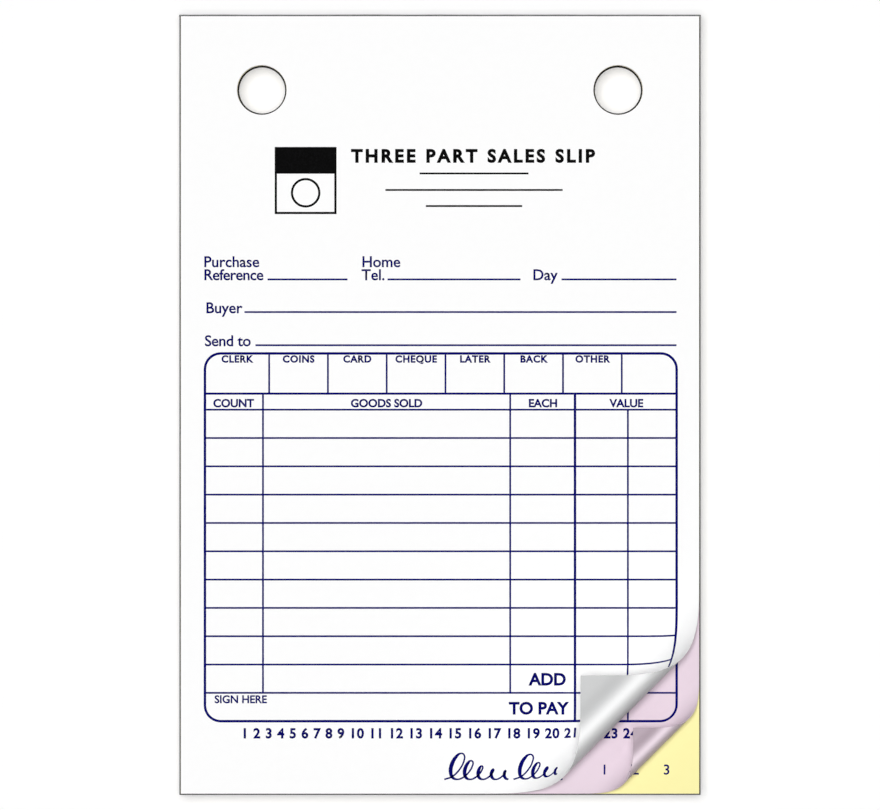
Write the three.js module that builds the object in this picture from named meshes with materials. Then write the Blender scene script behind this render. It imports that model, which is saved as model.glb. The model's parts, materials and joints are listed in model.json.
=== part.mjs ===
// A pad of three-part sales slips: punched sets bound at the head over a chipboard back.
// Two page corners of the top set roll over, the white slip's and the pink copy's.
// Units are millimetres. The origin is the centre of the board's underside,
// +X points to the right of the written face, +Y to the bound head, +Z up out of the written face.
import * as THREE from "three";

// Slip format
const SHEET_WIDTH = 101.6;
const SHEET_LENGTH = 152.4;
const SHEET_THICKNESS = 0.08;
const SHEETS_PER_SET = 3;
const SETS_PER_PAD = 50;
const LAY_GAP = 0.01; // the air that stays between sheets lying on each other

// Holes punched for register pegs
const HOLE_DIAMETER = 9.75; // clears a peg of 3/8 inch
const HOLE_SPACING = 69.85;
const HOLE_FROM_HEAD = 14.45; // hole centre to head edge
const HOLE_SIDES = 20;

// Chipboard back
const BOARD_THICKNESS = 0.75;
const BOARD_MARGIN = 0.36; // how far the board stands past the slips at the sides and the foot
const BOARD_HOLE_LIP = 0.36; // how far the board shows inside the slips' holes

// Padding compound along the head edge
const COMPOUND_THICKNESS = 0.36;
const COMPOUND_EDGE_RADIUS = 0.2;
const COMPOUND_EDGE_STEPS = 3;

// Rolled corners. A reach is measured on the flat sheet, from the corner to the line
// where the paper leaves the pad.
const PINK_ROLL_RADIUS = 4.75;
const PINK_ROLL_REACH = 16.65;
const WHITE_ROLL_RADIUS = 8.36;
const ROLL_CLEARANCE = 2.88; // plan distance between the white roll and the pink flap
const HALF_TURN_STEPS = 18;

// Colours
const WHITE_PAPER = 0xffffff;
const PINK_PAPER = 0xead5e3;
const YELLOW_PAPER = 0xfef6ae;
const CHIPBOARD = 0x3b3b3d;
const COMPOUND = 0x2b2b2d;

// Sizes that follow
const SHEET_PITCH = SHEET_THICKNESS + LAY_GAP;
const SET_PITCH = SHEETS_PER_SET * SHEET_PITCH;
const SET_THICKNESS = SET_PITCH - LAY_GAP;
const STACK_FLOOR = BOARD_THICKNESS + LAY_GAP;
const TOP_SET_FLOOR = STACK_FLOOR + (SETS_PER_PAD - 1) * SET_PITCH;
const HEAD_Y = SHEET_LENGTH / 2;
const FOOT_Y = -SHEET_LENGTH / 2;
const SIDE_X = SHEET_WIDTH / 2;

// Plan distance from the corner to the innermost point of a roll, its line of departure or its flap's tip
function rollInnerReach(radius, reach) {
  const flap = Math.max(0, reach - Math.PI * radius);
  return reach + flap;
}

const WHITE_ROLL_REACH =
  rollInnerReach(PINK_ROLL_RADIUS, PINK_ROLL_REACH) + ROLL_CLEARANCE + WHITE_ROLL_RADIUS;

function paper(color) {
  return new THREE.MeshStandardMaterial({ color, roughness: 0.85, metalness: 0 });
}

// One punched hole as a clockwise ring of points, so that it cuts a counterclockwise outline
function punchedHole(centreX, radius) {
  const centreY = HEAD_Y - HOLE_FROM_HEAD;
  const points = [];
  for (let side = 0; side < HOLE_SIDES; side += 1) {
    const angle = (-2 * Math.PI * side) / HOLE_SIDES;
    points.push(
      new THREE.Vector2(centreX + radius * Math.cos(angle), centreY + radius * Math.sin(angle)),
    );
  }
  return points;
}

function punchedPair(radius) {
  return [-HOLE_SPACING / 2, HOLE_SPACING / 2].map((x) => punchedHole(x, radius));
}

// A flat rectangle from foot to head, punched and given its thickness
function flatPlate(margin, holeRadius, thickness) {
  const outline = new THREE.Shape([
    new THREE.Vector2(-SIDE_X - margin, FOOT_Y - margin),
    new THREE.Vector2(SIDE_X + margin, FOOT_Y - margin),
    new THREE.Vector2(SIDE_X + margin, HEAD_Y),
    new THREE.Vector2(-SIDE_X - margin, HEAD_Y),
  ]);
  outline.holes = punchedPair(holeRadius).map((ring) => new THREE.Path(ring));
  return new THREE.ExtrudeGeometry(outline, { depth: thickness, bevelEnabled: false });
}

// Distances along the paper from the line of departure to the corner, one for each bend of the roll
function rollStations(radius, reach) {
  const turned = Math.min(reach, Math.PI * radius);
  const stations = [];
  for (let step = 0; step <= HALF_TURN_STEPS; step += 1) {
    stations.push((turned * step) / HALF_TURN_STEPS);
  }
  if (reach > turned) {
    stations.push(reach);
  }
  return stations;
}

// Where a point of the roll lies across the roll: how far past the line of departure and how high.
// The lift is its height in the sheet, so the lower face has the larger radius.
function rollSection(along, lift, radius) {
  const middle = SHEET_THICKNESS / 2;
  const bend = Math.min(along / radius, Math.PI);
  const flap = Math.max(0, along - Math.PI * radius);
  const faceRadius = radius + middle - lift;
  return {
    past: faceRadius * Math.sin(bend) - flap,
    height: radius + middle - faceRadius * Math.cos(bend),
  };
}

// A sheet whose lower right corner rolls up and over about a line at 45 degrees to its edges.
// The flat part is one punched face; the roll is a loft of straight rulings that shrink to the corner.
function rolledSheet(radius, reach) {
  const cut = reach * Math.SQRT2;
  const outline = [
    new THREE.Vector2(SIDE_X, FOOT_Y + cut),
    new THREE.Vector2(SIDE_X, HEAD_Y),
    new THREE.Vector2(-SIDE_X, HEAD_Y),
    new THREE.Vector2(-SIDE_X, FOOT_Y),
    new THREE.Vector2(SIDE_X - cut, FOOT_Y),
  ];
  const rings = punchedPair(HOLE_DIAMETER / 2);
  const flatFaces = THREE.ShapeUtils.triangulateShape(outline, rings);
  const positions = [];
  const faces = [];

  // Every point of the sheet is a pair: the lower face's vertex, then the upper face's
  const addPair = (lower, upper) => {
    positions.push(...lower, ...upper);
    return positions.length / 3 - 2;
  };
  const addFace = (a, b, c) => {
    if (a !== b && b !== c && c !== a) {
      faces.push(a, b, c);
    }
  };
  const addSkins = (a, b, c) => {
    addFace(a + 1, b + 1, c + 1);
    addFace(c, b, a);
  };
  const addEdge = (from, to) => {
    addFace(from, to, to + 1);
    addFace(from, to + 1, from + 1);
  };

  const flat = [...outline, ...rings.flat()].map((point) =>
    addPair([point.x, point.y, 0], [point.x, point.y, SHEET_THICKNESS]),
  );
  for (const [a, b, c] of flatFaces) {
    addSkins(flat[a], flat[b], flat[c]);
  }
  for (let corner = 0; corner < outline.length - 1; corner += 1) {
    addEdge(flat[corner], flat[corner + 1]);
  }
  let ringStart = outline.length;
  for (const ring of rings) {
    for (let side = 0; side < ring.length; side += 1) {
      addEdge(flat[ringStart + side], flat[ringStart + ((side + 1) % ring.length)]);
    }
    ringStart += ring.length;
  }

  // The roll's own axes: toPage runs from the corner into the page, rulings run along the roll
  const toPage = new THREE.Vector2(-1, 1).normalize();
  const ruling = new THREE.Vector2(1, 1).normalize();
  const departure = new THREE.Vector2(SIDE_X, FOOT_Y).addScaledVector(toPage, reach);
  const rollPoint = (along, sideways, lift) => {
    const { past, height } = rollSection(along, lift, radius);
    const plan = departure.clone().addScaledVector(toPage, -past).addScaledVector(ruling, sideways);
    return [plan.x, plan.y, height];
  };
  const rollPair = (along, sideways) =>
    addPair(rollPoint(along, sideways, 0), rollPoint(along, sideways, SHEET_THICKNESS));

  const stations = rollStations(radius, reach);
  let footEnd = flat[outline.length - 1];
  let sideEnd = flat[0];
  for (const along of stations.slice(1)) {
    const halfRuling = reach - along;
    const atCorner = along === stations[stations.length - 1];
    const nextFoot = rollPair(along, -halfRuling);
    const nextSide = atCorner ? nextFoot : rollPair(along, halfRuling);
    addSkins(footEnd, nextFoot, sideEnd);
    addSkins(sideEnd, nextFoot, nextSide);
    addEdge(footEnd, nextFoot);
    addEdge(nextSide, sideEnd);
    footEnd = nextFoot;
    sideEnd = nextSide;
  }

  const geometry = new THREE.BufferGeometry();
  geometry.setAttribute("position", new THREE.Float32BufferAttribute(positions, 3));
  geometry.setIndex(faces);
  geometry.computeVertexNormals();
  return geometry;
}

// The compound is brushed on as a film and sets with soft outer edges
function compoundFilm(height) {
  const outer = COMPOUND_THICKNESS;
  const round = COMPOUND_EDGE_RADIUS;
  const profile = new THREE.Shape();
  profile.moveTo(0, 0);
  profile.lineTo(outer - round, 0);
  profile.absarc(outer - round, round, round, -Math.PI / 2, 0, false);
  profile.lineTo(outer, height - round);
  profile.absarc(outer - round, height - round, round, 0, Math.PI / 2, false);
  profile.lineTo(0, height);
  const width = SHEET_WIDTH + 2 * BOARD_MARGIN;
  const film = new THREE.ExtrudeGeometry(profile, {
    depth: width,
    bevelEnabled: false,
    curveSegments: COMPOUND_EDGE_STEPS,
  });
  // The profile is drawn as outward and up, and extruded along the head
  const placed = new THREE.Matrix4().makeBasis(
    new THREE.Vector3(0, 1, 0),
    new THREE.Vector3(0, 0, 1),
    new THREE.Vector3(1, 0, 0),
  );
  placed.setPosition(-width / 2, HEAD_Y, 0);
  return film.applyMatrix4(placed);
}

function addPiece(group, name, geometry, material, z) {
  const piece = new THREE.Mesh(geometry, material);
  piece.name = name;
  piece.position.z = z;
  group.add(piece);
  return piece;
}

const slipPad = new THREE.Group();
const whitePaper = paper(WHITE_PAPER);

const boardHole = HOLE_DIAMETER / 2 - BOARD_HOLE_LIP;
const boardPaper = new THREE.MeshStandardMaterial({ color: CHIPBOARD, roughness: 0.9, metalness: 0 });
addPiece(slipPad, "chipboard_back", flatPlate(BOARD_MARGIN, boardHole, BOARD_THICKNESS), boardPaper, 0);

const compound = new THREE.MeshStandardMaterial({ color: COMPOUND, roughness: 0.6, metalness: 0 });
addPiece(slipPad, "padding_compound", compoundFilm(TOP_SET_FLOOR - LAY_GAP), compound, 0);

// The sets under the top one, numbered from the top of the pad down
const setGeometry = flatPlate(0, HOLE_DIAMETER / 2, SET_THICKNESS);
for (let number = 2; number <= SETS_PER_PAD; number += 1) {
  const floor = STACK_FLOOR + (SETS_PER_PAD - number) * SET_PITCH;
  addPiece(slipPad, `set_${String(number).padStart(2, "0")}`, setGeometry, whitePaper, floor);
}

// The top set lies open as three sheets
const yellowSheet = flatPlate(0, HOLE_DIAMETER / 2, SHEET_THICKNESS);
addPiece(slipPad, "yellow_copy", yellowSheet, paper(YELLOW_PAPER), TOP_SET_FLOOR);

const pinkSheet = rolledSheet(PINK_ROLL_RADIUS, PINK_ROLL_REACH);
addPiece(slipPad, "pink_copy", pinkSheet, paper(PINK_PAPER), TOP_SET_FLOOR + SHEET_PITCH);

const whiteSheet = rolledSheet(WHITE_ROLL_RADIUS, WHITE_ROLL_REACH);
addPiece(slipPad, "white_slip", whiteSheet, whitePaper, TOP_SET_FLOOR + 2 * SHEET_PITCH);

export default slipPad;
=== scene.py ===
"""Dresses a pad of three-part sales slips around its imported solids.

Punched sets of a white, a pink and a yellow sheet are bound at the head over a chipboard back.
The top set lies open: the corners of its white slip and its pink copy roll over at the lower right.
Sizes are in millimetres, and a finished mesh is turned to metres once, in make_piece.
"""

import json
import logging
import math
import random
from dataclasses import dataclass, field
from enum import Enum
from typing import Any

import bmesh
import bpy
from bmesh.types import BMEdge, BMesh, BMFace, BMVert
from bpy.types import ID, Material, Mesh, Node, NodeSocket, NodeTree, Object
from mathutils import Matrix, Vector, noise

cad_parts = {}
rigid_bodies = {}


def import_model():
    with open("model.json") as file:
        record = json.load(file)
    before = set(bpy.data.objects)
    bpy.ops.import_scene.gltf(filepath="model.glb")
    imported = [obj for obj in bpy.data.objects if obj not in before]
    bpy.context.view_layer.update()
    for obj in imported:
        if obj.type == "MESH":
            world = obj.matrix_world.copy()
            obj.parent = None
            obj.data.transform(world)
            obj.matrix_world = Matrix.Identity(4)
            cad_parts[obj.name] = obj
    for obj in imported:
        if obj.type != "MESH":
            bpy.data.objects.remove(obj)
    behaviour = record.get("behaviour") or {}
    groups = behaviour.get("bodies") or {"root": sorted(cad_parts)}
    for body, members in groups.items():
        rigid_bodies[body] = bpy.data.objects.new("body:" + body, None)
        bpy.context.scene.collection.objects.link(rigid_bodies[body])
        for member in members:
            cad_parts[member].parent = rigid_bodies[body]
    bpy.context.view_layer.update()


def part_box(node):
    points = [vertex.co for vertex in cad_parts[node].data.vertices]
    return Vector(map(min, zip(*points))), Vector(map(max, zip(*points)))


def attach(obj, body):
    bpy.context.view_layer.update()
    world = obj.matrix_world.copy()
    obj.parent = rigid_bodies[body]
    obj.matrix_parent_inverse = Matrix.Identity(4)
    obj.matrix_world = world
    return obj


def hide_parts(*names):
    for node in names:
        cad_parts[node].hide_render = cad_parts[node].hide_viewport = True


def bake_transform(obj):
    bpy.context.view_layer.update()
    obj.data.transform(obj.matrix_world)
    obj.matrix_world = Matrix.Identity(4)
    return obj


log = logging.getLogger("slip_pad")

MM = 0.001
SEED = 20
SNAP = 1e-5  # how near a cutting plane, in millimetres, a corner counts as lying on it
X, Y, Z = Vector((1, 0, 0)), Vector((0, 1, 0)), Vector((0, 0, 1))
# A colour Mix node's sockets by their places, as several have one name: the share of the second
# colour, the two colours, and their mix
SHARE, ONE, TWO, MIXED = 0, 6, 7, 2


class Ink(Enum):
    """The two inks of the form, by their material's place on a print."""

    NAVY = 0
    BLACK = 1


class Align(Enum):
    """Which end of a word stands at its x."""

    LEFT = "LEFT"
    CENTER = "CENTER"
    RIGHT = "RIGHT"


def linear(hex_color: str) -> tuple[float, float, float, float]:
    """Turns an sRGB colour into Blender's linear one.

    Args:
        hex_color: Six hex digits, red first.

    Returns:
        Red, green, blue and an alpha of 1.
    """
    parts = [int(hex_color[start : start + 2], 16) / 255 for start in (0, 2, 4)]
    red, green, blue = (
        part / 12.92 if part <= 0.04045 else ((part + 0.055) / 1.055) ** 2.4 for part in parts
    )
    return red, green, blue, 1.0


def per_mm(size: float) -> float:
    """Gives the texture scale at which a pattern's features are size millimetres wide."""
    return 1 / (size * MM)


def add_node(
    tree: NodeTree, kind: str, inputs: dict[str | int, Any] | None = None, **settings: Any
) -> Node:
    """Adds a node with its settings and links.

    Args:
        tree: The node tree that it goes into.
        kind: Its type, such as ShaderNodeTexNoise.
        inputs: A value for each named input, or the output socket that feeds it.
        **settings: Its own properties.

    Returns:
        The new node.
    """
    node = tree.nodes.new(kind)
    for name, value in settings.items():
        setattr(node, name, value)
    for name, value in (inputs or {}).items():
        if isinstance(value, NodeSocket):
            tree.links.new(value, node.inputs[name])
        else:
            node.inputs[name].default_value = value
    return node


def new_tree(name: str) -> tuple[Material, NodeTree, NodeSocket]:
    """Starts a material.

    Args:
        name: The real material that it stands for.

    Returns:
        The material, its empty node tree, and the Object coordinates in it.
    """
    material = bpy.data.materials.new(name)
    material.use_nodes = True
    tree = material.node_tree
    tree.nodes.clear()
    place = add_node(tree, "ShaderNodeTexCoord").outputs["Object"]
    return material, tree, place


def close_tree(tree: NodeTree, shader: Node) -> None:
    """Feeds a shader to the material's output."""
    add_node(tree, "ShaderNodeOutputMaterial", {"Surface": shader.outputs[0]})


def add_object(name: str, data: ID) -> Object:
    """Adds an object to the scene.

    Args:
        name: Its name.
        data: Its mesh, text, curve, lamp or camera.

    Returns:
        The new object.
    """
    added = bpy.data.objects.new(name, data)
    bpy.context.scene.collection.objects.link(added)
    return added


def drawn_form(drawn: Object) -> BMesh:
    """Turns a drawn text or curve into a form.

    Args:
        drawn: The object of the text or curve, which is removed.

    Returns:
        Its form.
    """
    form, curve = bmesh.new(), drawn.data
    shown = drawn.evaluated_get(bpy.context.evaluated_depsgraph_get())
    form.from_mesh(shown.to_mesh())
    shown.to_mesh_clear()
    bpy.data.objects.remove(drawn)
    bpy.data.curves.remove(curve)
    return form


def make_piece(name: str, form: BMesh, materials: list[Material]) -> Object:
    """Turns a form in millimetres into an object at the origin, in metres.

    Args:
        name: The piece's name.
        form: Its form, which is freed.
        materials: Its materials, in the order that its faces count them.

    Returns:
        The new object.
    """
    bmesh.ops.scale(form, vec=(MM, MM, MM), verts=form.verts)
    mesh = bpy.data.meshes.new(name)
    form.to_mesh(mesh)
    form.free()
    for material in materials:
        mesh.materials.append(material)
    return add_object(name, mesh)


def report(piece: Object, place: str) -> None:
    """Logs a finished piece and what it moves with."""
    log.info("%s: %d faces, with %s", piece.name, len(piece.data.polygons), place)


def add_rectangle(form: BMesh, low: Vector, high: Vector) -> list[BMVert]:
    """Adds a level rectangle to a form.

    Args:
        form: The form that it is added to.
        low: Its lower left corner.
        high: Its upper right corner.

    Returns:
        Its four vertices.
    """
    extent = high - low
    place = Matrix.Translation((low + high) / 2) @ Matrix.Diagonal((extent.x, extent.y, 1, 1))
    grid = bmesh.ops.create_grid(form, x_segments=1, y_segments=1, size=0.5, matrix=place)
    return grid["verts"]


def shift(form: BMesh, step: tuple[float, float, float]) -> None:
    """Moves a whole form."""
    bmesh.ops.translate(form, verts=form.verts, vec=step)


def cut(form: BMesh, point: Vector, normal: Vector) -> None:
    """Cuts every face of a form along a plane and keeps both sides."""
    everything = form.verts[:] + form.edges[:] + form.faces[:]
    bmesh.ops.bisect_plane(form, geom=everything, dist=SNAP, plane_co=point, plane_no=normal)


def thicken(form: BMesh, faces: list[BMFace], height: float) -> None:
    """Raises flat faces into a closed sheet and turns its faces outwards.

    Args:
        form: The form that the faces belong to.
        faces: Level faces, which stay as the sheet's lower side.
        height: The sheet's thickness.
    """
    raised = bmesh.ops.extrude_face_region(form, geom=faces, use_keep_orig=True)
    top = [item for item in raised["geom"] if isinstance(item, BMVert)]
    bmesh.ops.translate(form, verts=top, vec=(0, 0, height))
    bmesh.ops.recalc_face_normals(form, faces=form.faces)


def round_off(
    form: BMesh, items: list[BMEdge] | list[BMVert], radius: float, segments: int
) -> None:
    """Rounds edges or corners of a form.

    Args:
        form: The form that they belong to.
        items: The edges or the corners.
        radius: How far the rounding reaches from each.
        segments: The number of faces across the rounding.
    """
    bmesh.ops.bevel(
        form,
        geom=items,
        affect="VERTICES" if isinstance(items[0], BMVert) else "EDGES",
        offset=radius,
        segments=segments,
        profile=0.5,
        material=-1,
    )


def soften(form: BMesh, crease: float = 40.0) -> None:
    """Shades a form smoothly, except over its sharp edges.

    Args:
        form: The form.
        crease: The angle in degrees from which an edge is sharp.
    """
    for face in form.faces:
        face.smooth = True
    for edge in form.edges:
        edge.smooth = edge.calc_face_angle(0.0) < math.radians(crease)


@dataclass(frozen=True)
class PaperFace:
    """The writing side of uncoated carbonless paper, calendered to an even matt surface.

    The eye sees one flat colour, with faint clouds of fibre and a soft tooth in raking light.
    """

    name: str
    tint: str
    cloud_tint: str
    cloud: float = 1.6
    tooth: float = 0.12

    def build(self) -> Material:
        """Builds the paper's material.

        Returns:
            The material.
        """
        material, tree, place = new_tree(self.name)
        clouds = add_node(tree, "ShaderNodeTexNoise", {
            "Vector": place, "Scale": per_mm(self.cloud), "Detail": 4.0, "Roughness": 0.6,
        })
        color = add_node(tree, "ShaderNodeMix", {
            SHARE: clouds.outputs["Fac"], ONE: linear(self.tint), TWO: linear(self.cloud_tint),
        }, data_type="RGBA")
        fibres = add_node(tree, "ShaderNodeTexNoise", {
            "Vector": place,
            "Scale": per_mm(self.tooth),
            "Detail": 3.0,
            "Roughness": 0.7,
            "Distortion": 0.8,
        })
        tooth = add_node(tree, "ShaderNodeBump", {
            "Strength": 0.25, "Distance": 0.004 * MM, "Height": fibres.outputs["Fac"],
        })
        shader = add_node(tree, "ShaderNodeBsdfPrincipled", {
            "Base Color": color.outputs[MIXED],
            "Roughness": 0.95,
            "IOR": 1.4,
            "Specular IOR Level": 0.06,
            "Normal": tooth.outputs["Normal"],
        })
        close_tree(tree, shader)
        return material


@dataclass(frozen=True)
class CoatedBack:
    """The underside of a carbonless sheet, coated with ink capsules and dried, its tint a darker
    copy of the paper's colour.

    The darker tint is painted shade; the silky sheen, a soft band on a roll, comes from its
    specular under the lamps.
    """

    name: str
    tint: str
    cloud_tint: str
    sheen_tint: str = "FFFFFF"
    sheen: float = 1.0
    sheen_roughness: float = 0.56

    def build(self) -> Material:
        """Builds the back's material, whose darker tint is painted shade.

        Returns:
            The material.
        """
        material, tree, place = new_tree(self.name)
        clouds = add_node(tree, "ShaderNodeTexNoise", {
            "Vector": place, "Scale": per_mm(2.2), "Detail": 4.0, "Roughness": 0.55,
        })
        # tint and cloud_tint are set darker than the paper's own colour: painted shade
        color = add_node(tree, "ShaderNodeMix", {
            SHARE: clouds.outputs["Fac"], ONE: linear(self.tint), TWO: linear(self.cloud_tint),
        }, data_type="RGBA")
        capsules = add_node(tree, "ShaderNodeTexNoise", {
            "Vector": place, "Scale": per_mm(0.1), "Detail": 2.0, "Roughness": 0.6,
        })
        grain = add_node(tree, "ShaderNodeBump", {
            "Strength": 0.2, "Distance": 0.003 * MM, "Height": capsules.outputs["Fac"],
        })
        shader = add_node(tree, "ShaderNodeBsdfPrincipled", {
            "Base Color": color.outputs[MIXED],
            "Roughness": self.sheen_roughness,
            "IOR": 1.5,
            "Specular IOR Level": self.sheen,
            "Specular Tint": linear(self.sheen_tint),
            "Normal": grain.outputs["Normal"],
        })
        close_tree(tree, shader)
        return material


@dataclass(frozen=True)
class OffsetInk:
    """Offset ink, which soaks into uncoated paper and dries matt.

    The eye sees a dense line with a faint mottle where the fibres took less ink.
    """

    name: str
    tint: str
    thin_tint: str

    def build(self) -> Material:
        """Builds the ink's material.

        Returns:
            The material.
        """
        material, tree, place = new_tree(self.name)
        mottle = add_node(tree, "ShaderNodeTexNoise", {
            "Vector": place, "Scale": per_mm(0.3), "Detail": 3.0, "Roughness": 0.7,
        })
        share = add_node(tree, "ShaderNodeMapRange", {
            "Value": mottle.outputs["Fac"], "From Min": 0.45, "From Max": 0.75,
        })
        color = add_node(tree, "ShaderNodeMix", {
            SHARE: share.outputs[0], ONE: linear(self.tint), TWO: linear(self.thin_tint),
        }, data_type="RGBA")
        shader = add_node(tree, "ShaderNodeBsdfPrincipled", {
            "Base Color": color.outputs[MIXED], "Roughness": 0.85, "Specular IOR Level": 0.02,
        })
        close_tree(tree, shader)
        return material


@dataclass(frozen=True)
class Chipboard:
    """Chipboard rolled from recycled pulp and cut with the stack.

    The eye sees a dark grey board with lighter flecks of old paper, and its plies at the cut edge.
    """

    name: str = "recycled_chipboard"
    tint: str = "1D1D1F"
    fleck_tint: str = "454442"

    def build(self) -> Material:
        """Builds the board's material.

        Returns:
            The material.
        """
        material, tree, place = new_tree(self.name)
        pulp = add_node(tree, "ShaderNodeTexNoise", {
            "Vector": place, "Scale": per_mm(1.4), "Detail": 5.0, "Roughness": 0.7,
        })
        flecks = add_node(tree, "ShaderNodeTexVoronoi", {
            "Vector": place, "Scale": per_mm(0.9),
        })
        plies = add_node(tree, "ShaderNodeTexWave", {
            "Vector": place, "Scale": per_mm(0.9), "Distortion": 3.0, "Detail": 2.0,
        }, bands_direction="Z")
        fleck_share = add_node(tree, "ShaderNodeMapRange", {
            "Value": flecks.outputs["Distance"], "From Min": 0.16, "From Max": 0.06,
        })
        pulp_share = add_node(tree, "ShaderNodeMath", {
            0: pulp.outputs["Fac"], 1: plies.outputs["Fac"],
        }, operation="MULTIPLY")
        share = add_node(tree, "ShaderNodeMath", {
            0: fleck_share.outputs[0], 1: pulp_share.outputs[0],
        }, operation="MAXIMUM")
        color = add_node(tree, "ShaderNodeMix", {
            SHARE: share.outputs[0], ONE: linear(self.tint), TWO: linear(self.fleck_tint),
        }, data_type="RGBA")
        tooth = add_node(tree, "ShaderNodeBump", {
            "Strength": 0.5, "Distance": 0.02 * MM, "Height": pulp.outputs["Fac"],
        })
        shader = add_node(tree, "ShaderNodeBsdfPrincipled", {
            "Base Color": color.outputs[MIXED],
            "Roughness": 0.95,
            "Specular IOR Level": 0.1,
            "Normal": tooth.outputs["Normal"],
        })
        close_tree(tree, shader)
        return material


@dataclass(frozen=True)
class PaddingCompound:
    """Water-based padding compound, brushed along the head and dried to a rubbery film.

    The eye sees a dark satin skin with long brush marks and a few thin streaks.
    """

    name: str = "dried_padding_compound"
    tint: str = "18181A"
    streak_tint: str = "38383B"

    def build(self) -> Material:
        """Builds the film's material.

        Returns:
            The material.
        """
        material, tree, place = new_tree(self.name)
        # The brush runs along the head, so its marks are drawn out along X
        along = add_node(tree, "ShaderNodeMapping", {"Vector": place, "Scale": (0.04, 1.0, 1.0)})
        marks = add_node(tree, "ShaderNodeTexNoise", {
            "Vector": along.outputs[0], "Scale": per_mm(1.1), "Detail": 5.0, "Roughness": 0.7,
        })
        streaks = add_node(tree, "ShaderNodeMapRange", {
            "Value": marks.outputs["Fac"], "From Min": 0.4, "From Max": 0.68,
        })
        color = add_node(tree, "ShaderNodeMix", {
            SHARE: streaks.outputs[0], ONE: linear(self.tint), TWO: linear(self.streak_tint),
        }, data_type="RGBA")
        ridges = add_node(tree, "ShaderNodeBump", {
            "Strength": 0.8, "Distance": 0.08 * MM, "Height": marks.outputs["Fac"],
        })
        shader = add_node(tree, "ShaderNodeBsdfPrincipled", {
            "Base Color": color.outputs[MIXED],
            "Roughness": 0.42,
            "IOR": 1.48,
            "Normal": ridges.outputs["Normal"],
        })
        close_tree(tree, shader)
        return material


@dataclass
class PaperStock:
    """The papers and inks that the sheets of the pad share."""

    white: Material
    pink: Material
    yellow: Material
    white_back: Material
    pink_back: Material
    inks: list[Material]

    @classmethod
    def build(cls) -> "PaperStock":
        """Builds each stock once.

        Returns:
            The stock.
        """
        return cls(
            PaperFace("uncoated_white_paper", "FFFFFF", "FCFCFC").build(),
            PaperFace("uncoated_pink_paper", "E5D4DF", "E1D0DB").build(),
            PaperFace("uncoated_yellow_paper", "FDF6B1", "FAF3AC").build(),
            # The backs' tints are darker copies of the papers' colours: painted shade
            CoatedBack("coated_white_back_painted_shade", "ABACAC", "A6A7A8").build(),
            CoatedBack("coated_pink_back_painted_shade", "8D7D87", "877781", "FFF1FA").build(),
            [
                OffsetInk("navy_offset_ink", "050661", "0F1176").build(),
                OffsetInk("black_offset_ink", "060606", "121213").build(),
            ],
        )


@dataclass(frozen=True)
class SlipFormat:
    """The sizes that every sheet of the pad has."""

    width: float = 101.6
    length: float = 152.4
    thickness: float = 0.08
    pitch: float = 0.09
    hole_diameter: float = 9.75
    hole_spacing: float = 69.85
    hole_from_head: float = 14.45
    bend_depth: float = 9.5  # the strip along the bound head in which a lifted sheet bends

    @property
    def side(self) -> float:
        """Gives the x of the right edge."""
        return self.width / 2

    @property
    def head(self) -> float:
        """Gives the y of the bound edge."""
        return self.length / 2

    @property
    def hole_centres(self) -> list[Vector]:
        """Gives the centres of the two punched holes."""
        y = self.head - self.hole_from_head
        return [Vector((sign * self.hole_spacing / 2, y, 0)) for sign in (-1, 1)]


@dataclass(frozen=True)
class CornerRoll:
    """A lower right corner that rolls up and over about a line at 45 degrees to its edges.

    The paper leaves the pad at a line, turns through half a circle, and goes on as a flat flap.
    """

    radius: float
    reach: float  # on the flat sheet, from the corner to the line where the paper leaves the pad
    steps: int = 40
    margin: float = 0.25  # how close the cuts beside the bend keep its shading
    least: float = 0.01  # a cut nearer to the corner than this is left out

    @property
    def to_page(self) -> Vector:
        """Gives the direction from the corner into the page."""
        return Vector((-1, 1, 0)).normalized()

    def corner(self, size: SlipFormat) -> Vector:
        """Gives the corner of the flat sheet."""
        return Vector((size.side, -size.head, 0))

    def cut_distances(self) -> list[float]:
        """Finds where the flat sheet needs an edge.

        Returns:
            The distances of the cuts from the corner.
        """
        turned = min(self.reach, math.pi * self.radius)
        bends = [self.reach - turned * step / self.steps for step in range(self.steps + 1)]
        beside = [self.reach + self.margin, self.reach - turned - self.margin]
        return [distance for distance in bends + beside if distance > self.least]

    def divide(self, form: BMesh, size: SlipFormat) -> None:
        """Cuts a flat form along every line where the roll bends it."""
        for distance in self.cut_distances():
            cut(form, self.corner(size) + self.to_page * distance, self.to_page)

    def bend(self, form: BMesh, size: SlipFormat) -> None:
        """Rolls up what lies past the line where the paper leaves the pad.

        Args:
            form: A flat form, already cut for the roll, whose z is its height in the sheet.
            size: The sheet's sizes.
        """
        corner, middle = self.corner(size), size.thickness / 2
        for vertex in form.verts:
            from_corner = (vertex.co - corner).dot(self.to_page)
            along = self.reach - from_corner
            if along <= 0:
                continue
            turn = min(along / self.radius, math.pi)
            flap = max(0.0, along - math.pi * self.radius)
            face_radius = self.radius + middle - vertex.co.z
            past = face_radius * math.sin(turn) - flap
            vertex.co += self.to_page * (self.reach - past - from_corner)
            vertex.co.z = self.radius + middle - face_radius * math.cos(turn)


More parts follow.
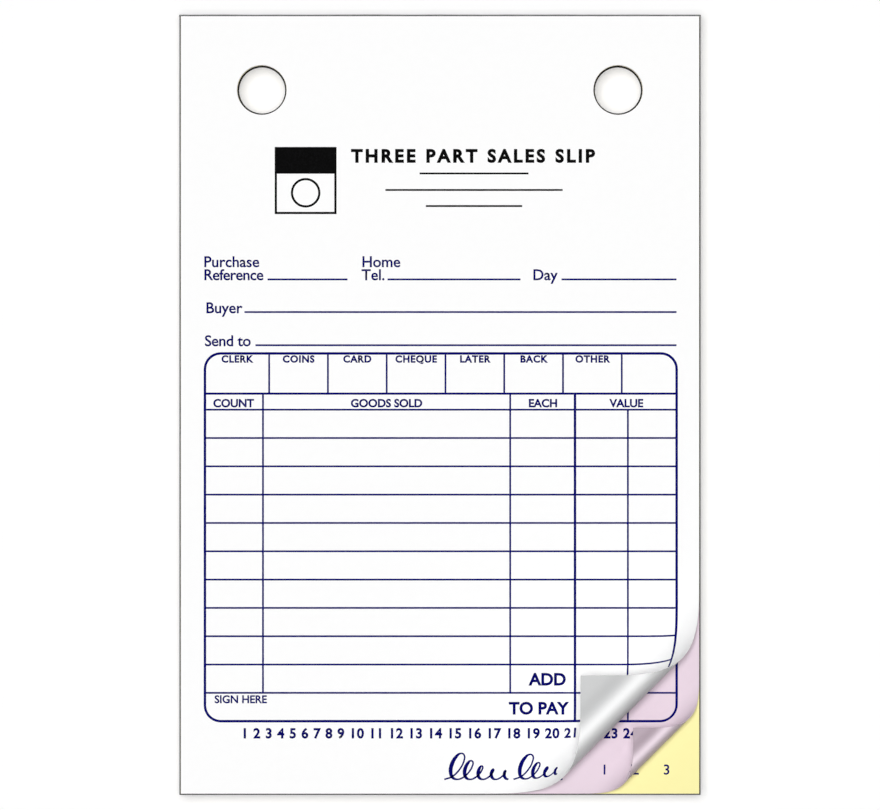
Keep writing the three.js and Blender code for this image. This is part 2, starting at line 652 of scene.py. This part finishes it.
def flat_sheet(
    form: BMesh, size: SlipFormat, margin: float, hole_radius: float, sides: int
) -> list[BMFace]:
    """Adds a punched rectangle to a form, level at z 0.

    Args:
        form: The form that it is added to.
        size: The slip's sizes.
        margin: How far it stands past the slip at its sides and foot.
        hole_radius: The radius of its two holes.
        sides: The number of sides of a hole.

    Returns:
        Its faces.
    """
    low = Vector((-size.side - margin, -size.head - margin, 0))
    points = add_rectangle(form, low, Vector((size.side + margin, size.head, 0)))
    bmesh.ops.delete(form, geom=[points[0].link_faces[0]], context="FACES_ONLY")
    for centre in size.hole_centres:
        ring = bmesh.ops.create_circle(
            form, segments=sides, radius=hole_radius, matrix=Matrix.Translation(centre)
        )
        points += ring["verts"]
    # Every edge is taken once and in a fixed order, so that each run fills the sheet alike
    edges = list(dict.fromkeys(edge for point in points for edge in point.link_edges))
    filled = bmesh.ops.triangle_fill(form, edges=edges, use_beauty=True, normal=(0, 0, 1))
    return [item for item in filled["geom"] if isinstance(item, BMFace)]


@dataclass
class OpenSheet:
    """One sheet of the top set, with its form printed on it and its corner rolled or flat."""

    node: str
    slot: str
    parent: str
    face: Material
    back: Material
    size: SlipFormat
    roll: CornerRoll | None = None
    bend_rows: int = 14
    hole_sides: int = 48

    def build(self, form_print: "FormPrint", inks: list[Material]) -> None:
        """Builds the sheet and its print, and lets the print follow the sheet's body.

        Args:
            form_print: The printed form that it carries.
            inks: The form's inks.
        """
        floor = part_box(self.node)[0].z / MM
        sheet = make_piece(f"{self.node}_sheet", self.sheet_form(floor), [self.face, self.back])
        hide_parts(self.node)
        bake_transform(sheet)
        report(sheet, f"{self.parent} to {self.node}")
        film = form_print.film(self.size, floor, self.roll)
        printed = make_piece(f"{self.node}_print", film, inks)
        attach(printed, self.node)
        report(printed, self.node)

    def sheet_form(self, floor: float) -> BMesh:
        """Makes the sheet's form.

        Args:
            floor: The height of its underside.

        Returns:
            The form, with its writing side as material 0 and its back as 1.
        """
        form, size = bmesh.new(), self.size
        flat_sheet(form, size, 0.0, size.hole_diameter / 2, self.hole_sides)
        for row in range(1, self.bend_rows + 1):
            depth = size.bend_depth * row / self.bend_rows
            cut(form, Y * (size.head - depth), Y)
        if self.roll:
            self.roll.divide(form, size)
        thicken(form, form.faces[:], size.thickness)
        for side in form.faces:
            side.material_index = 1 if side.normal.z < -0.5 else 0
        soften(form)
        if self.roll:
            self.roll.bend(form, size)
        shift(form, (0, 0, floor))
        return form


@dataclass
class BoundSets:
    """Sets 2 to 50, each a white, a pink and a yellow sheet that lie together.

    The stack is cut in one go, so its edges are even to a few hundredths of a millimetre.
    """

    size: SlipFormat
    stock: PaperStock
    first: int = 2
    last: int = 50
    sheets: int = 3  # in each set
    hole_sides: int = 40
    unevenness: float = 0.035

    def build(self, form_print: "FormPrint") -> None:
        """Builds every set, and the print of the uppermost one.

        Args:
            form_print: The printed form that shows when the top set is lifted.
        """
        spread = random.Random(SEED)
        sheet = self.sheet_mesh()
        papers = [self.stock.yellow, self.stock.pink, self.stock.white]
        for number in range(self.first, self.last + 1):
            node = f"set_{number:02d}"
            piece = make_piece(f"{node}_sheets", self.set_form(sheet, node, spread), papers)
            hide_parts(node)
            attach(piece, "bound_pad")
            report(piece, "bound_pad")
        bpy.data.meshes.remove(sheet)
        top = f"set_{self.first:02d}"
        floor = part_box(top)[1].z / MM - self.size.thickness
        film = form_print.film(self.size, floor, None)
        printed = make_piece(f"{top}_print", film, self.stock.inks)
        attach(printed, "bound_pad")
        report(printed, "bound_pad")

    def sheet_mesh(self) -> Mesh:
        """Makes the mesh that every set takes three times.

        Returns:
            One flat sheet.
        """
        form, size = bmesh.new(), self.size
        faces = flat_sheet(form, size, 0.0, size.hole_diameter / 2, self.hole_sides)
        thicken(form, faces, size.thickness)
        soften(form)
        mesh = bpy.data.meshes.new("set_sheet")
        form.to_mesh(mesh)
        form.free()
        return mesh

    def set_form(self, sheet: Mesh, node: str, spread: random.Random) -> BMesh:
        """Lays three sheets together.

        Args:
            sheet: The mesh of one sheet.
            node: The set's CAD node, which gives its height.
            spread: The source of the sheets' small shifts.

        Returns:
            The set's form, with a material for each of its three papers.
        """
        form = bmesh.new()
        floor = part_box(node)[0].z / MM
        for layer in range(self.sheets):
            before, faces_before = len(form.verts), len(form.faces)
            form.from_mesh(sheet)
            shift = spread.uniform(-self.unevenness, self.unevenness)
            trim = 1 + spread.uniform(-self.unevenness, self.unevenness) / self.size.length
            added = form.verts[before:]
            for side in form.faces[faces_before:]:
                side.material_index = layer
            # The foot is uneven too, but the head stays in the compound
            for vertex in added:
                if vertex.co.y < 0:
                    vertex.co.y *= trim
            rise = floor + layer * self.size.pitch
            bmesh.ops.translate(form, verts=added, vec=(shift, 0, rise))
        return form


@dataclass(frozen=True)
class Rule:
    """A straight printed line, level or upright, by its two ends and its width."""

    x0: float
    x1: float
    y0: float
    y1: float
    width: float

    @property
    def half(self) -> tuple[float, float]:
        """Gives how far it reaches from its middle line along x and along y."""
        return (0.0, self.width / 2) if self.y0 == self.y1 else (self.width / 2, 0.0)

    @property
    def low(self) -> Vector:
        """Gives its lower left corner."""
        return Vector((self.x0 - self.half[0], self.y0 - self.half[1], 0))

    @property
    def high(self) -> Vector:
        """Gives its upper right corner."""
        return Vector((self.x1 + self.half[0], self.y1 + self.half[1], 0))

    def holds(self, point: Vector) -> bool:
        """Tells whether a point lies in it."""
        low, high = self.low, self.high
        return low.x < point.x < high.x and low.y < point.y < high.y


@dataclass(frozen=True)
class Word:
    """A short label or number, by its place on the baseline."""

    text: str
    x: float
    y: float
    capitals: float
    align: Align
    weight: float  # how far its strokes are widened, as a share of the capitals' height
    spacing: float = 1.0
    ink: Ink = Ink.NAVY


@dataclass
class FormPrint:
    """The printed form: fields at the top, boxes for numbers, and a table of eleven rows."""

    table_left: float = -46.08
    table_right: float = 46.39
    table_top: float = 10.1
    table_foot: float = -61.99
    table_corner: float = 3.1
    frame_line: float = 0.49
    box_line: float = 0.42
    thin_line: float = 0.355
    box_foot: float = 2.22
    head_foot: float = -0.93
    rows: int = 11
    box_first: float = -33.49
    box_pitch: float = 11.52
    boxes: int = 7
    columns: tuple[float, float] = (-34.7, 13.76)
    sum_column: float = 26.46
    cents_column: float = 36.83
    film_gap: float = 0.003
    film_height: float = 0.006
    letter_share: float = 0.682  # the capitals' height of the font, as a share of its size
    pen_radius: float = 0.27
    scroll_base: tuple[float, float] = (13.43, -73.4)
    edge_on: float = 0.05  # the flourish leaves out faces whose normals rise less
    flat: BMesh = field(init=False)

    def __post_init__(self) -> None:
        """Lays the whole form out flat."""
        self.flat = bmesh.new()
        self.add_frame()
        self.add_rules(self.table_rules() + self.field_rules(), Ink.NAVY)
        self.add_rules(self.heading_rules(), Ink.BLACK)
        self.add_stamp_box()
        self.add_words(self.labels() + self.numbers())
        self.add_scroll()

    def film(self, size: SlipFormat, floor: float, roll: CornerRoll | None) -> BMesh:
        """Makes a film of ink that lies on one sheet.

        Args:
            size: The sheet's sizes.
            floor: The height of the sheet's underside.
            roll: The roll at its corner, if it has one.

        Returns:
            The film's form.
        """
        form = self.flat.copy()
        if roll:
            roll.divide(form, size)
        thicken(form, form.faces[:], self.film_height)
        shift(form, (0, 0, size.thickness + self.film_gap))
        if roll:
            roll.bend(form, size)
        shift(form, (0, 0, floor))
        return form

    def take(self, part: BMesh, ink: Ink) -> None:
        """Adds a flat part to the form.

        Args:
            part: The part, which is freed.
            ink: The ink that all of it has.
        """
        for side in part.faces:
            side.material_index = ink.value
            if side.normal.z < 0:
                side.normal_flip()
        mesh = bpy.data.meshes.new("part")
        part.to_mesh(mesh)
        part.free()
        self.flat.from_mesh(mesh)
        bpy.data.meshes.remove(mesh)

    def add_frame(self) -> None:
        """Adds the table's outer line with its round corners."""
        part, grow = bmesh.new(), self.frame_line / 2
        low = Vector((self.table_left - grow, self.table_foot - grow, 0))
        high = Vector((self.table_right + grow, self.table_top + grow, 0))
        corners = add_rectangle(part, low, high)
        round_off(part, corners, self.table_corner + grow, segments=10)
        self.hollow(part, self.frame_line)
        self.take(part, Ink.NAVY)

    def hollow(self, part: BMesh, line: float) -> None:
        """Leaves only a line along the outline of a part.

        Args:
            part: The part, which has one face.
            line: The line's width.
        """
        inner = part.faces[:]
        bmesh.ops.inset_individual(part, faces=inner, thickness=line, use_even_offset=True)
        bmesh.ops.delete(part, geom=inner, context="FACES_ONLY")

    def table_rules(self) -> list[Rule]:
        """Lays out the table.

        Returns:
            The lines inside its frame.
        """
        inner = self.frame_line / 2
        left, right = self.table_left + inner, self.table_right - inner
        top, foot = self.table_top - inner, self.table_foot + inner
        pitch = (self.head_foot - self.table_foot) / self.rows
        thin = self.thin_line
        levels = [self.head_foot - pitch * row for row in range(self.rows)]
        rules = [Rule(left, right, self.box_foot, self.box_foot, self.box_line)]
        rules += [Rule(left, right, level, level, thin) for level in levels]
        for box in range(self.boxes):
            x = self.box_first + self.box_pitch * box
            rules.append(Rule(x, x, self.box_foot, top, thin))
        rules += [Rule(x, x, levels[-1], self.box_foot, thin) for x in self.columns]
        rules.append(Rule(self.sum_column, self.sum_column, foot, self.box_foot, self.frame_line))
        rules.append(Rule(self.cents_column, self.cents_column, foot, self.head_foot, thin))
        return rules

    def field_rules(self) -> list[Rule]:
        """Lays out the fields.

        Returns:
            The lines to write on above the table.
        """
        end, first, second, third = 46.36, 24.61, 18.21, 11.71
        spans = [
            (-33.81, -18.13, first),
            (-10.29, 15.78, first),
            (23.82, end, first),
            (-38.33, end, second),
            (-36.17, end, third),
        ]
        return [Rule(x0, x1, y, y, self.thin_line) for x0, x1, y in spans]

    def heading_rules(self) -> list[Rule]:
        """Lays out the room for the seller's stamp.

        Returns:
            The three centred lines under the heading.
        """
        middle, line = 6.67, 0.36
        spans = [(21.36, 45.38), (34.74, 42.14), (18.87, 38.99)]
        return [Rule(middle - width / 2, middle + width / 2, y, y, line) for width, y in spans]

    def add_rules(self, rules: list[Rule], ink: Ink) -> None:
        """Adds straight lines as one network, so that none lies over another.

        A sheet is cut along every line's edges, and only what lies in a line is kept.

        Args:
            rules: The lines.
            ink: Their ink.
        """
        ends = [end for rule in rules for end in (rule.low, rule.high)]
        part, digits = bmesh.new(), 4
        low = Vector((min(end.x for end in ends), min(end.y for end in ends), 0))
        high = Vector((max(end.x for end in ends), max(end.y for end in ends), 0))
        add_rectangle(part, low, high)
        for axis in (X, Y):
            for place in sorted({round(end.dot(axis), digits) for end in ends}):
                cut(part, axis * place, axis)
        blank = []
        for side in part.faces:
            middle = side.calc_center_median()
            if not any(rule.holds(middle) for rule in rules):
                blank.append(side)
        bmesh.ops.delete(part, geom=blank, context="FACES")
        self.take(part, ink)

    def add_stamp_box(self) -> None:
        """Adds the square at the heading's left: a solid band over a frame with a plain ring."""
        left, right, top, foot, band = -32.4, -20.28, 50.57, 37.41, 45.77
        line, ring_radius, ring_sides = 0.44, 2.9, 48
        frame = bmesh.new()
        add_rectangle(frame, Vector((left, foot, 0)), Vector((right, band, 0)))
        self.hollow(frame, line)
        self.take(frame, Ink.BLACK)
        solid = bmesh.new()
        add_rectangle(solid, Vector((left, band, 0)), Vector((right, top, 0)))
        self.take(solid, Ink.BLACK)
        ring = bmesh.new()
        place = Matrix.Translation(((left + right) / 2, (band + foot) / 2, 0))
        bmesh.ops.create_circle(
            ring, cap_ends=True, segments=ring_sides, radius=ring_radius, matrix=place
        )
        self.hollow(ring, line)
        self.take(ring, Ink.BLACK)

    def labels(self) -> list[Word]:
        """Lays out the labels.

        Returns:
            The form's plain words.
        """
        tag, head, head_y, bold = 2.06, 1.5, -0.4, 2.26
        fields = [
            ("Purchase", -46.36, 27.05, 1.0),
            ("Reference", -46.36, 24.49, 0.95),
            ("Home", -15.38, 27.05, 1.0),
            ("Tel.", -15.38, 24.49, 1.0),
            ("Day", 18.13, 24.49, 1.0),
            ("Buyer", -45.96, 18.02, 1.0),
            ("Send to", -46.16, 11.55, 0.97),
        ]
        columns = [("COUNT", -40.48), ("GOODS SOLD", -10.48), ("EACH", 20.19), ("VALUE", 36.56)]
        return [
            Word("THREE PART SALES SLIP", 6.47, 47.62, 2.4, Align.CENTER, 0.065, 1.31, Ink.BLACK),
            *(Word(text, x, y, tag, Align.LEFT, 0.025, spacing) for text, x, y, spacing in fields),
            *(Word(text, x, head_y, head, Align.CENTER, 0.05) for text, x in columns),
            Word("ADD", 24.7, -54.9, bold, Align.RIGHT, 0.05),
            Word("TO PAY", 25.09, -60.58, bold, Align.RIGHT, 0.05),
            Word("SIGN HERE", -44.21, -58.42, 1.45, Align.LEFT, 0.04),
            *self.box_heads(),
        ]

    def box_heads(self) -> list[Word]:
        """Lays out the heads of the boxes over the table.

        Returns:
            The heads from left to right.
        """
        edges = [self.table_left] + [
            self.box_first + self.box_pitch * box for box in range(self.boxes)
        ]
        heads = ["CLERK", "COINS", "CARD", "CHEQUE", "LATER", "BACK", "OTHER"]
        y, capitals = 8.36, 1.3
        return [
            Word(head, (left + right) / 2, y, capitals, Align.CENTER, 0.06, 1.12)
            for head, left, right in zip(heads, edges, edges[1:])
        ]

    def numbers(self) -> list[Word]:
        """Lays out the plain numbers.

        Returns:
            The row under the table, and the numbers of the three copies.
        """
        row = " ".join(str(number) for number in range(1, 25))
        first, pitch, copies = 32.25, 6.09, 3
        return [
            Word(row, -0.1, -65.29, 1.85, Align.CENTER, 0.05, 1.09),
            *(
                Word(str(copy + 1), first + pitch * copy, -72.43, 1.9, Align.CENTER, 0.02)
                for copy in range(copies)
            ),
        ]

    def add_words(self, words: list[Word]) -> None:
        """Adds words as flat meshes in the built-in font.

        Args:
            words: The labels and numbers.
        """
        for word in words:
            curve = bpy.data.curves.new("word", "FONT")
            curve.body = word.text
            curve.size = word.capitals / self.letter_share
            curve.align_x = word.align.value
            curve.offset = word.weight * word.capitals
            curve.space_character = word.spacing
            curve.resolution_u = 4
            part = drawn_form(add_object("word", curve))
            shift(part, (word.x, word.y, 0))
            self.take(part, word.ink)

    def scroll_run(
        self, start: float, width: float, loops: int, tall: float, low: float
    ) -> list[tuple[float, float, float]]:
        """Gives one run of pen loops, each knot an x, a y and the pen's weight.

        The first loop is the tallest and the others die away along the base line. The pen goes up
        on a loop's right, comes down on its left, and presses on the way down.

        Args:
            start: Where the run starts.
            width: How far it goes along the base line.
            loops: How many loops it has.
            tall: The height of the first loop.
            low: The height of the last one.

        Returns:
            The run's knots.
        """
        steps, slant, roundness = 10, 0.4, 0.32
        fade, press_fade, light = 2.2, 0.4, 0.6
        knots = []
        for step in range(loops * steps + 1):
            share = step / (loops * steps)
            turn = 2 * math.pi * loops * share
            height = low + (tall - low) * (1 - share) ** fade
            y = height * (1 - math.cos(turn)) / 2
            x = start + width * share + roundness * height * math.sin(turn) + slant * y
            press = max(0.0, -math.sin(turn)) * (height / tall) ** press_fade
            knots.append((x, y, light + press))
        return knots

    def add_scroll(self) -> None:
        """Adds the pen flourish under the table, two runs of loops."""
        curve = bpy.data.curves.new("scroll", "CURVE")
        curve.dimensions = "3D"
        curve.bevel_depth = self.pen_radius
        curve.bevel_resolution = 1
        curve.resolution_u = 3
        tall, low = 6.0, 1.7
        for start, width, loops in ((-12.6, 12.6, 5), (1.0, 9.6, 4)):
            knots = self.scroll_run(start, width, loops, tall, low)
            stroke = curve.splines.new("BEZIER")
            stroke.bezier_points.add(len(knots) - 1)
            for knot, (x, y, weight) in zip(stroke.bezier_points, knots):
                knot.co = (x, y, 0)
                knot.radius = weight
                knot.handle_left_type = knot.handle_right_type = "AUTO"
        part = drawn_form(add_object("scroll", curve))
        # Only the stroke's upper side is kept, pressed flat like the rest of the form
        lower = [side for side in part.faces if side.normal.z <= self.edge_on]
        bmesh.ops.delete(part, geom=lower, context="FACES")
        bmesh.ops.scale(part, vec=(1, 1, 0), verts=part.verts)
        shift(part, (*self.scroll_base, 0))
        self.take(part, Ink.NAVY)


@dataclass
class BoardBack:
    """The chipboard back, a little larger than the slips, whose edge shows round them."""

    size: SlipFormat
    thickness: float = 0.75
    margin: float = 0.36
    hole_lip: float = 0.36
    edge_round: float = 0.06
    sharp: float = 80.0  # degrees, from which an edge is rounded
    hole_sides: int = 48

    def build(self) -> None:
        """Builds the board."""
        form = bmesh.new()
        hole = self.size.hole_diameter / 2 - self.hole_lip
        faces = flat_sheet(form, self.size, self.margin, hole, self.hole_sides)
        thicken(form, faces, self.thickness)
        sharp = math.radians(self.sharp)
        rim = [edge for edge in form.edges if edge.calc_face_angle(0.0) > sharp]
        round_off(form, rim, self.edge_round, segments=2)
        soften(form, crease=50.0)
        board = make_piece("chipboard_sheet", form, [Chipboard().build()])
        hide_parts("chipboard_back")
        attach(board, "bound_pad")
        report(board, "bound_pad")


@dataclass
class BindingFilm:
    """The film of padding compound along the head, brushed on by hand."""

    node: str = "padding_compound"
    edge_round: float = 0.16
    cut_pitch: float = 0.9
    waviness: float = 0.12
    rim_drop: float = 0.3  # how far the brush missed the film's upper rim at most
    mark_rates: tuple[float, float] = (0.12, 0.7)  # brush marks for a millimetre, along and up
    rim_rate: float = 0.19

    def build(self) -> None:
        """Builds the film with its soft rim and its brushed unevenness."""
        low, high = (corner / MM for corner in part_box(self.node))
        form = bmesh.new()
        place = Matrix.Translation((low + high) / 2) @ Matrix.Diagonal((*(high - low), 1))
        bmesh.ops.create_cube(form, size=1, matrix=place)
        middle = (low.y + high.y) / 2
        rim = [edge for edge in form.edges if all(end.co.y > middle for end in edge.verts)]
        round_off(form, rim, self.edge_round, segments=4)
        for axis, start, end in ((X, low.x, high.x), (Z, low.z, high.z)):
            for step in range(1, int((end - start) / self.cut_pitch)):
                cut(form, axis * (start + step * self.cut_pitch), axis)
        self.brush(form, low, high)
        bmesh.ops.recalc_face_normals(form, faces=form.faces)
        soften(form)
        film = make_piece("padding_film", form, [PaddingCompound().build()])
        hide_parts(self.node)
        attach(film, "bound_pad")
        report(film, "bound_pad")

    def brush(self, form: BMesh, low: Vector, high: Vector) -> None:
        """Makes the film's outer skin wavy along the brush's path and its upper rim uneven.

        Args:
            form: The film's form.
            low: The low corner of its box.
            high: The high corner.
        """
        along, up = self.mark_rates
        for vertex in form.verts:
            out = (vertex.co.y - low.y) / (high.y - low.y)
            # The skin and the rim each take their own slice of the noise
            skin = Vector((vertex.co.x * along, vertex.co.z * up, 3.0))
            vertex.co.y -= self.waviness * (0.5 + 0.5 * noise.noise(skin)) * out
            near_rim = max(0.0, 1 - (high.z - vertex.co.z) / self.cut_pitch)
            rim = Vector((vertex.co.x * self.rim_rate, 7.0, 0.0))
            vertex.co.z -= self.rim_drop * max(0.0, noise.noise(rim)) * near_rim


@dataclass
class Studio:
    """A white floor, a broad soft lamp and a camera overhead, and a low card for sheen."""

    floor_span: float = 4.0  # metres
    floor_tint: str = "DADADA"
    floor_glow: float = 0.3
    key_strength: float = 2.83
    key_spread: float = 16.0  # degrees, like every angle here
    key_tilt: float = 2.7
    ambient: float = 0.1
    card_strength: float = 6.9
    card_zenith: float = 76.0
    card_spread: float = 12.0
    sensor: float = 36.0
    camera_height: float = 7.4  # metres above the page
    camera_range: tuple[float, float] = (1.0, 20.0)  # metres
    page_height: float = 14.25
    view_width: float = 172.5
    centre: tuple[float, float] = (0.0, -0.01)

    def build(self) -> None:
        """Builds the studio and sets the scene's camera and view."""
        self.add_floor()
        # The key lamp stands a little to the upper left, so that shadows fall to the lower right
        key = math.radians(self.key_tilt)
        away = Vector((-math.sin(key), math.sin(key), math.sqrt(2) * math.cos(key)))
        self.add_sun("key_lamp", away, self.key_strength, self.key_spread)
        low = math.radians(self.card_zenith)
        side = math.sin(low) / math.sqrt(2)
        card = self.add_sun(
            "sheen_card", Vector((side, -side, math.cos(low))), self.card_strength, self.card_spread
        )
        card.visible_diffuse = False
        self.add_world()
        self.add_camera()
        bpy.context.scene.view_settings.view_transform = "Standard"

    def add_floor(self) -> None:
        """Adds the floor, which keeps the pad's shadow and is white to the camera."""
        form = bmesh.new()
        bmesh.ops.create_grid(form, x_segments=1, y_segments=1, size=self.floor_span / 2 / MM)
        material, tree, _ = new_tree("painted_white_floor")
        rays = add_node(tree, "ShaderNodeLightPath")
        glow = add_node(tree, "ShaderNodeMath", {
            0: rays.outputs["Is Camera Ray"], 1: self.floor_glow,
        }, operation="MULTIPLY")
        shader = add_node(tree, "ShaderNodeBsdfPrincipled", {
            "Base Color": linear(self.floor_tint),
            "Roughness": 1.0,
            "Specular IOR Level": 0.0,
            "Emission Color": linear("FFFFFF"),
            "Emission Strength": glow.outputs[0],
        })
        close_tree(tree, shader)
        floor = make_piece("floor", form, [material])

    def add_sun(self, name: str, towards: Vector, strength: float, spread: float) -> Object:
        """Adds a distant lamp.

        Args:
            name: Its name.
            towards: The direction from the pad to the lamp.
            strength: Its strength.
            spread: The angle that it fills, in degrees.

        Returns:
            The lamp's object.
        """
        data = bpy.data.lights.new(name, "SUN")
        data.energy = strength
        data.angle = math.radians(spread)
        lamp = add_object(name, data)
        lamp.rotation_mode = "QUATERNION"
        lamp.rotation_quaternion = (-towards).to_track_quat("-Z", "Y")
        return lamp

    def add_world(self) -> None:
        """Adds a dim even light from all sides, which is white to the camera and in reflections."""
        world = bpy.data.worlds.new("studio")
        world.use_nodes = True
        tree = world.node_tree
        tree.nodes.clear()
        rays = add_node(tree, "ShaderNodeLightPath")
        mirrored = add_node(tree, "ShaderNodeMath", {
            0: rays.outputs["Is Camera Ray"], 1: rays.outputs["Is Glossy Ray"],
        }, operation="MAXIMUM")
        seen = add_node(tree, "ShaderNodeMath", {
            0: mirrored.outputs[0], 1: rays.outputs["Is Transmission Ray"],
        }, operation="MAXIMUM")
        strength = add_node(tree, "ShaderNodeMapRange", {
            "Value": seen.outputs[0], "To Min": self.ambient, "To Max": 1.0,
        })
        white = add_node(tree, "ShaderNodeBackground", {
            "Color": linear("FFFFFF"), "Strength": strength.outputs[0],
        })
        add_node(tree, "ShaderNodeOutputWorld", {"Surface": white.outputs[0]})
        bpy.context.scene.world = world

    def add_camera(self) -> None:
        """Adds the camera, far above the page and looking straight down."""
        data = bpy.data.cameras.new("camera")
        data.sensor_width = self.sensor
        data.lens = self.sensor * self.camera_height / (self.view_width * MM)
        data.clip_start, data.clip_end = self.camera_range
        camera = add_object("camera", data)
        x, y = self.centre
        camera.location = (x * MM, y * MM, self.page_height * MM + self.camera_height)
        bpy.context.scene.camera = camera


def main() -> None:
    """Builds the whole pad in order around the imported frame."""
    logging.basicConfig(level=logging.INFO, format="%(name)s: %(message)s")
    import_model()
    size = SlipFormat()
    stock = PaperStock.build()
    form_print = FormPrint()
    BoardBack(size).build()
    BindingFilm().build()
    BoundSets(size, stock).build(form_print)
    pink_roll = CornerRoll(radius=4.75, reach=16.65)
    white_roll = CornerRoll(radius=8.36, reach=29.617)
    for node, slot, parent, face, back, roll in (
        ("yellow_copy", "yellow_paper", "bound_pad", stock.yellow, stock.yellow, None),
        ("pink_copy", "pink_paper", "yellow_copy", stock.pink, stock.pink_back, pink_roll),
        ("white_slip", "white_paper", "pink_copy", stock.white, stock.white_back, white_roll),
    ):
        OpenSheet(node, slot, parent, face, back, size, roll).build(form_print, stock.inks)
    form_print.flat.free()
    Studio().build()


if __name__ == "__main__":
    main()
